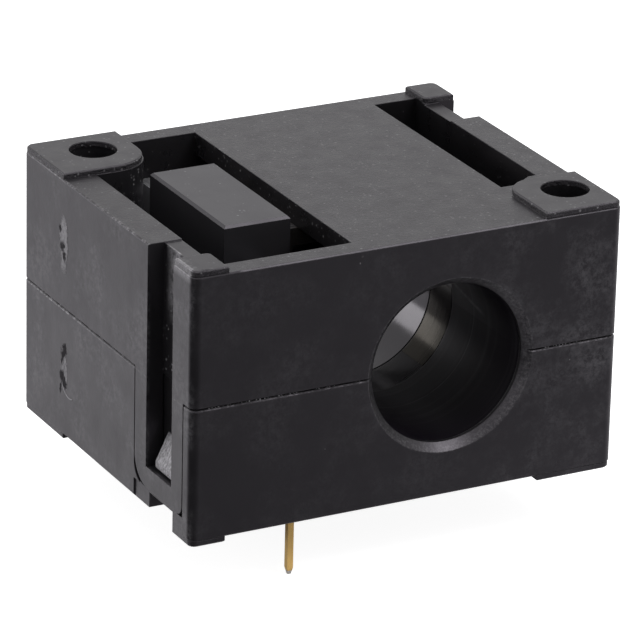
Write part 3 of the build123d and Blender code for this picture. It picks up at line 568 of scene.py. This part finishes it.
def board_laminate():
    """Woven glass epoxy under grey solder resist: smooth on its faces, woven and darker on its cut edges."""
    finishes = bpy.context.scene.sensor_finishes
    material, tree = new_material("solder_resist_on_glass_epoxy")
    place = object_place(tree)
    axes = add_node(tree, "ShaderNodeSeparateXYZ", (place,)).outputs[:]
    weave = grain(tree, object_place(tree, (1.0, 0.25, 1.0)), 0.35)
    cut = overlap(tree, rising(tree, axes, x=(BOARD_LOW.x, BOARD_LOW.x + 0.06 * MM)),
                  rising(tree, axes, x=(BOARD_HIGH.x, BOARD_HIGH.x - 0.06 * MM)),
                  add_node(tree, "ShaderNodeMapRange", (weave, 0.2, 0.8, 0.6, 1.0)).outputs[0])
    bumps = [(weave, 0.01), (grain(tree, place, 1.2), 0.02)]
    set_surface(tree, {"Base Color": painted(tree, finishes.solder_resist, (cut, finishes.glass_epoxy)),
                       "Roughness": add_node(tree, "ShaderNodeMapRange", (cut, 0.0, 1.0, 0.32, 0.75)).outputs[0],
                       "Normal": rounded_bump(tree, bumps, 0.05 * MM)})
    return material


def tin_solder():
    """Tin-silver solder, reflowed: bright, smooth and slightly dimpled."""
    finishes = bpy.context.scene.sensor_finishes
    material, tree = new_material("tin_solder")
    dimples = grain(tree, object_place(tree), 0.25)
    set_surface(tree, {"Base Color": finishes.solder,
                       "Metallic": 1.0,
                       "Roughness": add_node(tree, "ShaderNodeMapRange", (dimples, 0.3, 0.7, 0.22, 0.42)).outputs[0],
                       "Normal": rounded_bump(tree, [(dimples, 0.008)], 0.04 * MM)})
    return material


def natural_nylon():
    """Natural polyamide, moulded: cream, slightly translucent and satin."""
    finishes = bpy.context.scene.sensor_finishes
    material, tree = new_material("natural_nylon")
    cloud = grain(tree, object_place(tree), 2.0, 3.0)
    clouded = add_node(tree, "ShaderNodeMapRange", (cloud, 0.3, 0.8, 0.0, 0.3)).outputs[0]
    set_surface(tree, {"Base Color": painted(tree, finishes.spacer, (clouded, linear(NYLON_SHADE))),
                       "Roughness": 0.45,
                       "Subsurface Weight": 0.15,
                       "Subsurface Scale": 0.5 * MM,
                       "Normal": rounded_bump(tree, [(cloud, 0.01)], 0.05 * MM)})
    return material


def chip_epoxy(name, colour, roughness):
    """Filled epoxy or glaze of a small part: fine grained, dull or glossy by its roughness."""
    material, tree = new_material(name)
    fine = grain(tree, object_place(tree), 0.12, 3.0)
    filled, rough = (add_node(tree, "ShaderNodeMapRange", (fine, *ends)).outputs[0]
                     for ends in ((0.4, 0.9, 0.0, 0.25), (0.3, 0.7, roughness - 0.05, roughness + 0.05)))
    set_surface(tree, {"Base Color": painted(tree, colour, (filled, linear(EPOXY_FILLER))),
                       "Roughness": rough,
                       "Normal": rounded_bump(tree, [(fine, 0.004)], 0.04 * MM)})
    return material


def finish_node(name, material):
    """Gives a CAD node its material."""
    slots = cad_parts[name].data.materials
    slots.clear()
    slots.append(material)


def new_piece(name, mesh, materials=()):
    """A new object at the origin that rides on the body."""
    piece = bpy.data.objects.new(name, mesh)
    bpy.context.scene.collection.objects.link(piece)
    for material in materials:
        mesh.materials.append(material)
    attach(piece, BODY)
    return piece


def finish_mesh(work, mesh):
    """Writes a working mesh out, with its normals outwards."""
    bmesh.ops.recalc_face_normals(work, faces=work.faces)
    work.to_mesh(mesh)
    work.free()
    return mesh


def node_tree_for_pattern(name, sockets):
    """An empty Geometry Nodes tree with a geometry input, an output and the named inputs, each with a default."""
    tree = bpy.data.node_groups.new(name, "GeometryNodeTree")
    tree.interface.new_socket("Geometry", in_out="INPUT", socket_type="NodeSocketGeometry")
    tree.interface.new_socket("Geometry", in_out="OUTPUT", socket_type="NodeSocketGeometry")
    for socket_name, (kind, default) in sockets.items():
        socket = tree.interface.new_socket(socket_name, in_out="INPUT", socket_type=kind)
        if default is not None:
            socket.default_value = default
    return tree, add_node(tree, "NodeGroupInput"), add_node(tree, "NodeGroupOutput")


def grown(base_mesh, tree, values, name):
    """Runs a Geometry Nodes tree on a mesh and returns its result as a plain mesh."""
    holder = bpy.data.objects.new(name + "_holder", base_mesh)
    bpy.context.scene.collection.objects.link(holder)
    modifier = holder.modifiers.new(name, "NODES")
    modifier.node_group = tree
    for item in tree.interface.items_tree:
        if item.in_out == "INPUT" and item.name in values:
            modifier[item.identifier] = values[item.name]
    depsgraph = bpy.context.evaluated_depsgraph_get()
    mesh = bpy.data.meshes.new_from_object(holder.evaluated_get(depsgraph), depsgraph=depsgraph)
    holder.modifiers.remove(modifier)
    bpy.data.objects.remove(holder)
    mesh.name = name
    return mesh


def sheet_mesh(outline, start_y, thickness):
    """One flat sheet whose outline is given in X and Z."""
    mesh = bpy.data.meshes.new("sheet")
    work = bmesh.new()
    face = work.faces.new([work.verts.new((x, start_y, z)) for x, z in outline])
    pushed = bmesh.ops.extrude_face_region(work, geom=[face])["geom"]
    bmesh.ops.translate(work, vec=(0, thickness, 0), verts=[v for v in pushed if isinstance(v, bmesh.types.BMVert)])
    return finish_mesh(work, mesh)


def end_pattern(tree, copies, material, result):
    """Ends a pattern's tree: makes its copies real and gives them their material."""
    real = add_node(tree, "GeometryNodeRealizeInstances", {0: copies.outputs[0]})
    covered = add_node(tree, "GeometryNodeSetMaterial", {"Geometry": real.outputs[0], "Material": material})
    tree.links.new(covered.outputs[0], result.inputs[0])
    return tree


def stack_tree(material):
    """Repeats a sheet along Y, each one slipped a little sideways as in a loose stack."""
    tree, given, result = node_tree_for_pattern("stacked_sheets", {
        "Count": ("NodeSocketInt", 23), "Pitch": ("NodeSocketFloat", 0.0005),
        "Slip": ("NodeSocketFloat", 0.00002), "Seed": ("NodeSocketInt", 3)})
    step = add_node(tree, "ShaderNodeCombineXYZ", {"Y": given.outputs["Pitch"]})
    line = add_node(tree, "GeometryNodeMeshLine", {"Count": given.outputs["Count"], "Offset": step.outputs[0]})
    back = overlap(tree, given.outputs["Slip"], -1.0)
    low = add_node(tree, "ShaderNodeCombineXYZ", {"X": back, "Z": back})
    high = add_node(tree, "ShaderNodeCombineXYZ", {"X": given.outputs["Slip"], "Z": given.outputs["Slip"]})
    slip = add_node(tree, "FunctionNodeRandomValue", {0: low.outputs[0], 1: high.outputs[0],
                                                      "Seed": given.outputs["Seed"]}, data_type="FLOAT_VECTOR")
    moved = add_node(tree, "GeometryNodeSetPosition", {"Geometry": line.outputs[0], "Offset": slip.outputs[0]})
    copies = add_node(tree, "GeometryNodeInstanceOnPoints", {"Points": moved.outputs[0],
                                                             "Instance": given.outputs["Geometry"]})
    return end_pattern(tree, copies, material, result)


def scatter_tree(material, name):
    """Sets a copy of a small shape at each point of a mesh, turned and sized at random."""
    tree, given, result = node_tree_for_pattern(name, {
        "Shape": ("NodeSocketObject", None), "Smallest": ("NodeSocketFloat", 0.4),
        "Largest": ("NodeSocketFloat", 1.0), "Turn": ("NodeSocketFloat", 0.0), "Seed": ("NodeSocketInt", 1)})
    shape = add_node(tree, "GeometryNodeObjectInfo", {"Object": given.outputs["Shape"]})
    turns = add_node(tree, "ShaderNodeCombineXYZ", {"X": given.outputs["Turn"], "Y": given.outputs["Turn"],
                                                    "Z": given.outputs["Turn"]})
    spin = add_node(tree, "FunctionNodeRandomValue", {0: (0.0, 0.0, 0.0), 1: turns.outputs[0],
                                                      "Seed": given.outputs["Seed"]}, data_type="FLOAT_VECTOR")
    size = add_node(tree, "FunctionNodeRandomValue", {2: given.outputs["Smallest"], 3: given.outputs["Largest"],
                                                      "Seed": given.outputs["Seed"]}, data_type="FLOAT")
    copies = add_node(tree, "GeometryNodeInstanceOnPoints", {
        "Points": given.outputs["Geometry"], "Instance": shape.outputs["Geometry"],
        "Rotation": spin.outputs[0], "Scale": size.outputs[1]})
    return end_pattern(tree, copies, material, result)


def point_mesh(points):
    """A mesh of loose points."""
    mesh = bpy.data.meshes.new("points")
    mesh.from_pydata(points, [], [])
    return mesh


def scattered(name, points, shape_mesh, material, values):
    """A piece made of one small shape set at each of the points."""
    shape = bpy.data.objects.new(name + "_shape", shape_mesh)
    bpy.context.scene.collection.objects.link(shape)
    tree = scatter_tree(material, name)
    mesh = grown(point_mesh(points), tree, {"Shape": shape, **values}, name)
    bpy.data.objects.remove(shape)
    return new_piece(name, mesh)


class SENSOR_OT_housing(bpy.types.Operator):
    """Finish the two snap-fitted shells"""
    bl_idname = "sensor.housing"
    bl_label = "Housing shells"

    def execute(self, context):
        material = housing_moulding()
        for name in ("upper_shell", "lower_shell"):
            finish_node(name, material)
        return {"FINISHED"}


def moulding_flash():
    """Torn edge of the moulding's polyester: pale grey and matt."""
    finishes = bpy.context.scene.sensor_finishes
    material, tree = new_material("moulding_flash")
    pale = grain(tree, object_place(tree), 0.5, 3.0, spread=(0.35, 0.65))
    set_surface(tree, {"Base Color": painted(tree, finishes.scuff_and_reflection, (pale, finishes.torn)), "Roughness": 0.5})
    return material


def seam_points(sizes):
    """Uneven points along the seam: on the front and back outside the bore, and on each side as far as its loop."""
    inset = sizes.seam_flake * 0.6
    corner, rim, loop_end = 1.6 * MM, BORE_RADIUS + 1.0 * MM, 12.8 * MM
    points = []
    for step in range(sizes.seam_flakes):
        share = (step + 0.5 + 0.5 * noise.noise((step * 3.7, 1.3, 0.0))) / sizes.seam_flakes
        if noise.noise((share * 14.0, 2.2, 7.0)) < BARE_BELOW:
            continue
        height = FLASH_HEIGHT + FLASH_WANDER * noise.noise((0.0, step * 2.9, 4.1))
        for y in (FRONT + inset, BACK - inset):
            x = LEFT + corner + share * (RIGHT - LEFT - 2 * corner)
            if abs(x) > rim:
                points.append((x, y, height))
        for x, side in ((LEFT + inset, -1), (RIGHT - inset, 1)):
            points.append((x, side * (BACK - loop_end - share * (BACK - FRONT - loop_end - corner)), height))
    return points


class SENSOR_OT_seam_flakes(bpy.types.Operator):
    """Scatter small pale flakes of moulding flash along the seam between the shells"""
    bl_idname = "sensor.seam_flakes"
    bl_label = "Seam flakes"

    def execute(self, context):
        sizes = context.scene.sensor_sizes
        flake = bpy.data.meshes.new("flake")
        work = bmesh.new()
        bmesh.ops.create_icosphere(work, subdivisions=1, radius=sizes.seam_flake / 2,
                                   matrix=Matrix.Diagonal((1.0, 1.0, 0.5, 1.0)))
        finish_mesh(work, flake)
        piece = scattered("seam_flash", seam_points(sizes), flake, moulding_flash(),
                          {"Smallest": 0.3, "Largest": 1.0, "Turn": 6.28, "Seed": 5})
        return {"FINISHED"}


def warm_reflection_sheet_mesh():
    """A thin curved sheet just inside the front sleeve, from the joint of the sleeves to the first ring, that carries a
    painted warm reflection.
    """
    work = bmesh.new()
    from_turn, to_turn = WARM_SHEET_TURNS
    angles = [from_turn + (to_turn - from_turn) * step / WARM_SHEET_STEPS for step in range(WARM_SHEET_STEPS + 1)]
    inner, outer = BORE_RADIUS - 0.03 * MM, BORE_RADIUS - 0.01 * MM
    start_y, end_y = RING_Y + WARM_SHEET_END_GAP, -WARM_SHEET_END_GAP
    rings = [[work.verts.new((radius * math.cos(angle), y, radius * math.sin(angle))) for angle in angles]
             for radius, y in ((inner, start_y), (inner, end_y), (outer, end_y), (outer, start_y))]
    for ring, after in zip(rings, rings[1:] + rings[:1]):
        for step in range(WARM_SHEET_STEPS):
            face = work.faces.new((ring[step], ring[step + 1], after[step + 1], after[step]))
            face.smooth = True
    for end in (0, WARM_SHEET_STEPS):
        work.faces.new([ring[end] for ring in rings])
    for ring in rings:
        for step in range(WARM_SHEET_STEPS):
            work.edges.get((ring[step], ring[step + 1])).smooth = False
    return finish_mesh(work, bpy.data.meshes.new("sleeve_film"))


class SENSOR_OT_bore(bpy.types.Operator):
    """Finish the two sleeves that line the bore, and lay a thin sheet with a painted warm reflection on the front one
    """
    bl_idname = "sensor.bore"
    bl_label = "Bore sleeves"

    def execute(self, context):
        finishes = context.scene.sensor_finishes
        finish_node("bore_sleeve_front", sleeve_moulding("dulled_black_moulding", 0.16, 0.12, finishes.sheen))
        finish_node("bore_sleeve_back", sleeve_moulding("glossy_black_moulding", 0.15, 0.46, finishes.sheen))
        # Thin sheet whose warm tinted reflection is painted
        warm_reflection = sleeve_moulding("filmed_black_moulding", 0.16, 0.15, finishes.warm_reflection)
        piece = new_piece("sleeve_film", warm_reflection_sheet_mesh(), (warm_reflection,))
        return {"FINISHED"}


class SENSOR_OT_cover(bpy.types.Operator):
    """Finish the cover over the pole gap"""
    bl_idname = "sensor.cover"
    bl_label = "Gap cover"

    def execute(self, context):
        finish_node("gap_cover", cover_moulding())
        finish_node("gap_spacer", natural_nylon())
        return {"FINISHED"}


class SENSOR_OT_core(bpy.types.Operator):
    """Build the two halves of the core from stamped sheets"""
    bl_idname = "sensor.core"
    bl_label = "Laminated core"

    def execute(self, context):
        sizes = context.scene.sensor_sizes
        low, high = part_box("core_upper")
        gap_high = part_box("gap_spacer")[1]
        tree = stack_tree(sheet_steel())
        count = int((high.y - low.y) / sizes.sheet_pitch)
        inner = high.z - sizes.core_yoke
        left, right, pole = low.x + SHEET_SLIP, high.x - SHEET_SLIP, gap_high.x - SHEET_SLIP
        leg = high.x - sizes.core_right_leg + SHEET_SLIP
        for name, up in (("core_upper", 1), ("core_lower", -1)):
            outline = [(left, up * gap_high.z), (left, up * (high.z - SHEET_SLIP)),
                       (right, up * (high.z - SHEET_SLIP)), (right, up * SHEET_SLIP),
                       (leg, up * SHEET_SLIP), (leg, up * (inner + SHEET_SLIP)),
                       (pole, up * (inner + SHEET_SLIP)), (pole, up * gap_high.z)]
            sheet = sheet_mesh(outline, low.y, sizes.sheet_pitch - sizes.sheet_gap)
            mesh = grown(sheet, tree, {"Count": count, "Pitch": sizes.sheet_pitch, "Slip": SHEET_SLIP * 0.8}, name)
            piece = new_piece(name + "_sheets", mesh)
            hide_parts(name)
        return {"FINISHED"}


class SENSOR_OT_board(bpy.types.Operator):
    """Finish the circuit board and solder the Hall element's leads"""
    bl_idname = "sensor.board"
    bl_label = "Circuit board"

    def execute(self, context):
        sizes = context.scene.sensor_sizes
        finish_node("circuit_board", board_laminate())
        mound = bpy.data.meshes.new("solder_mound")
        work = bmesh.new()
        bmesh.ops.create_uvsphere(work, u_segments=12, v_segments=8, radius=sizes.solder_radius,
                                  matrix=Matrix.Diagonal((0.5, 1.0, 1.0, 1.0)))
        finish_mesh(work, mound)
        points = [(BOARD_LOW.x, step * LEAD_PITCH, 0.0) for step in LEAD_STEPS]
        piece = scattered("solder_joints", points, mound, tin_solder(), {"Smallest": 0.9, "Largest": 1.0})
        return {"FINISHED"}


def with_metal_ends(name, body_material, metal, is_metal):
    """Copies a small part of the board and gives its metal faces their own material."""
    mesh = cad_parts[name].data.copy()
    mesh.materials.clear()
    work = bmesh.new()
    work.from_mesh(mesh)
    bmesh.ops.remove_doubles(work, verts=work.verts, dist=0.001 * MM)
    bmesh.ops.dissolve_limit(work, angle_limit=math.radians(1), verts=work.verts, edges=work.edges)
    for face in work.faces:
        face.smooth = False
        face.material_index = 1 if is_metal(face.calc_center_median()) else 0
    work.to_mesh(mesh)
    work.free()
    piece = new_piece(name + "_finished", mesh, (body_material, metal))
    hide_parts(name)
    return piece


class SENSOR_OT_board_parts(bpy.types.Operator):
    """Finish the chips, capacitors, diodes, resistors and the thermistor, with their metal ends"""
    bl_idname = "sensor.board_parts"
    bl_label = "Parts on the board"

    def execute(self, context):
        finishes = context.scene.sensor_finishes
        metal = bpy.data.materials.get("tin_solder") or tin_solder()
        chip = chip_epoxy("chip_epoxy", finishes.chip, 0.5)
        tantalum = chip_epoxy("tantalum_epoxy", finishes.tantalum, 0.45)
        glaze = chip_epoxy("resistor_glaze", finishes.glaze, 0.25)
        finish_node("hall_element", chip)
        for name in sorted(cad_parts):
            low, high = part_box(name)
            middle = (low + high) / 2
            if name.endswith("_chip"):
                width = high.z - middle.z - CHIP_LEADS
                piece = with_metal_ends(name, chip, metal, lambda c: abs(c.z - middle.z) > width)
            elif name.startswith(("resistor", "filter_capacitor", "protection_diode", "thermistor")):
                length = (high.y - low.y) / 2 - END_CAP
                body = {"r": glaze, "f": tantalum, "p": chip, "t": chip}[name[0]]
                piece = with_metal_ends(name, body, metal, lambda c: abs(c.y - middle.y) > length)
        return {"FINISHED"}


class SENSOR_OT_pins(bpy.types.Operator):
    """Finish the three square terminal pins"""
    bl_idname = "sensor.pins"
    bl_label = "Terminal pins"

    def execute(self, context):
        material = gold_plating()
        for name in ("supply_pin", "output_pin", "return_pin"):
            finish_node(name, material)
        return {"FINISHED"}


def floor_material():
    """Pale matt paper: white to the camera; in reflections it shows painted shades by its direction from the front left
    corner, and a painted glow near the part.
    """
    stage = bpy.context.scene.sensor_stage
    material, tree = new_material("pale_floor")
    ray = add_node(tree, "ShaderNodeLightPath").outputs
    seen = any_of(tree, ray["Is Camera Ray"], ray["Is Transmission Ray"])
    place = add_node(tree, "ShaderNodeTexCoord").outputs["Object"]
    from_corner = add_node(tree, "ShaderNodeMapping", {"Vector": place, "Location": (-LEFT, -FRONT, 0.0)}).outputs[0]
    turn_share = add_node(tree, "ShaderNodeTexGradient", (from_corner,), gradient_type="RADIAL").outputs[1]
    shades = add_node(tree, "ShaderNodeValToRGB", {"Fac": turn_share})
    stops = shades.color_ramp.elements
    first, last = FLOOR_SHADES[0][0], FLOOR_SHADES[-1][0]
    for turn, shade in FLOOR_SHADES:
        along = turn / 360 + 0.5
        stop = {first: stops[0], last: stops[-1]}.get(turn) or stops.new(along)
        stop.position = along
        stop.color = (shade, shade * 0.985, shade * 1.02, 1.0)
    shaded = shades.outputs[0]
    reach = add_node(tree, "ShaderNodeVectorMath", (from_corner,), operation="LENGTH").outputs["Value"]
    near_part = add_node(tree, "ShaderNodeMapRange", (reach, 20 * MM, 90 * MM, 0.42, 0.05)).outputs[0]
    brightest = add_node(tree, "ShaderNodeMapRange", (shaded, 0.55, 0.9)).outputs[0]
    # Painted glow near the part, seen only in reflections
    shine = overlap(tree, ray["Is Glossy Ray"], near_part, brightest)
    light = add_node(tree, "ShaderNodeMath", (overlap(tree, seen, stage.floor_glow), shine)).outputs[0]
    colour = painted(tree, stage.floor_colour, (ray["Is Glossy Ray"], shaded))
    paint = add_node(tree, "ShaderNodeBsdfDiffuse", {"Color": colour})
    glow = add_node(tree, "ShaderNodeEmission", {"Strength": light})
    both = add_node(tree, "ShaderNodeAddShader", (paint.outputs[0], glow.outputs[0]))
    add_node(tree, "ShaderNodeOutputMaterial", {"Surface": both.outputs[0]})
    return material


def add_floor():
    """A wide flat floor under the pins' tips."""
    corners = [(x * FLOOR_HALF, y * FLOOR_HALF, PIN_TIP) for x, y in ((-1, -1), (1, -1), (1, 1), (-1, 1))]
    mesh = bpy.data.meshes.new("floor")
    mesh.from_pydata(corners, [], [(0, 1, 2, 3)])
    mesh.materials.append(floor_material())
    floor = bpy.data.objects.new("floor", mesh)
    bpy.context.scene.collection.objects.link(floor)


def add_lamp(name, place, size, power):
    """A large soft square lamp that points at the middle of the part."""
    lamp = bpy.data.lights.new(name, "AREA")
    lamp.shape = "SQUARE"
    lamp.size = size
    lamp.energy = power
    holder = bpy.data.objects.new(name, lamp)
    holder.location = place
    holder.rotation_euler = (-Vector(place)).to_track_quat("-Z", "Y").to_euler()
    bpy.context.scene.collection.objects.link(holder)


def light_room():
    """An even white room: dimmer as light than it looks to the camera, and a little dimmer in reflections."""
    stage = bpy.context.scene.sensor_stage
    world = bpy.data.worlds.new("studio")
    bpy.context.scene.world = world
    world.use_nodes = True
    tree = world.node_tree
    tree.nodes.clear()
    ray = add_node(tree, "ShaderNodeLightPath").outputs
    seen = any_of(tree, ray["Is Camera Ray"], ray["Is Glossy Ray"], ray["Is Transmission Ray"])
    light = add_node(tree, "ShaderNodeMapRange", (seen, 0.0, 1.0, stage.room_light, 1.0)).outputs[0]
    shine = add_node(tree, "ShaderNodeMapRange", (ray["Is Glossy Ray"], 0.0, 1.0, 1.0, stage.room_shine)).outputs[0]
    strength = overlap(tree, light, shine)
    background = add_node(tree, "ShaderNodeBackground", {"Color": (1, 1, 1, 1), "Strength": strength})
    add_node(tree, "ShaderNodeOutputWorld", {"Surface": background.outputs[0]})


def add_camera():
    """The camera at the photograph's viewing angle."""
    scene = bpy.context.scene
    camera = bpy.data.cameras.new("camera")
    camera.lens = scene.sensor_stage.focal_length
    camera.sensor_width = 36.0
    camera.clip_end = 20.0
    holder = bpy.data.objects.new("camera", camera)
    turn = Matrix((CAMERA_RIGHT, CAMERA_UP, -Vector(CAMERA_AHEAD))).transposed().to_4x4()
    holder.matrix_world = Matrix.Translation(Vector(CAMERA_PLACE) * MM) @ turn
    scene.collection.objects.link(holder)
    scene.camera = holder


class SENSOR_OT_stage(bpy.types.Operator):
    """Set the pale floor, the soft lamps and the camera"""
    bl_idname = "sensor.stage"
    bl_label = "Floor, lamps and camera"

    def execute(self, context):
        add_floor()
        light_room()
        for name, place, size, power in LAMPS:
            add_lamp(name, place, size, getattr(context.scene.sensor_stage, power))
        add_camera()
        context.scene.view_settings.view_transform = "Standard"
        return {"FINISHED"}


OPERATORS = (SENSOR_OT_housing, SENSOR_OT_seam_flakes, SENSOR_OT_bore, SENSOR_OT_cover, SENSOR_OT_core, SENSOR_OT_board,
             SENSOR_OT_board_parts, SENSOR_OT_pins, SENSOR_OT_stage)


class SENSOR_PT_panel(bpy.types.Panel):
    """Steps and settings of the sensor's finish"""
    bl_idname = "SENSOR_PT_panel"
    bl_label = "Current sensor"
    bl_space_type = "VIEW_3D"
    bl_region_type = "UI"
    bl_category = "Current sensor"

    def draw(self, context):
        for operator in OPERATORS:
            self.layout.operator(operator.bl_idname)
        for group in (context.scene.sensor_finishes, context.scene.sensor_sizes, context.scene.sensor_stage):
            for name in group.__annotations__:
                self.layout.prop(group, name)


GROUPS = {"sensor_finishes": SensorFinishes, "sensor_sizes": SensorSizes, "sensor_stage": SensorStage}
CLASSES = (*GROUPS.values(), *OPERATORS, SENSOR_PT_panel)


def register():
    """Registers the classes and gives each scene the settings."""
    for cls in CLASSES:
        bpy.utils.register_class(cls)
    for name, group in GROUPS.items():
        setattr(bpy.types.Scene, name, PointerProperty(type=group))


def unregister():
    """Takes back what register did."""
    for name in GROUPS:
        delattr(bpy.types.Scene, name)
    for cls in reversed(CLASSES):
        bpy.utils.unregister_class(cls)


def main():
    """Runs every step in order."""
    register()
    for operator in OPERATORS:
        group, name = operator.bl_idname.split(".")
        getattr(getattr(bpy.ops, group), name)()


if __name__ == "__main__":
    main()
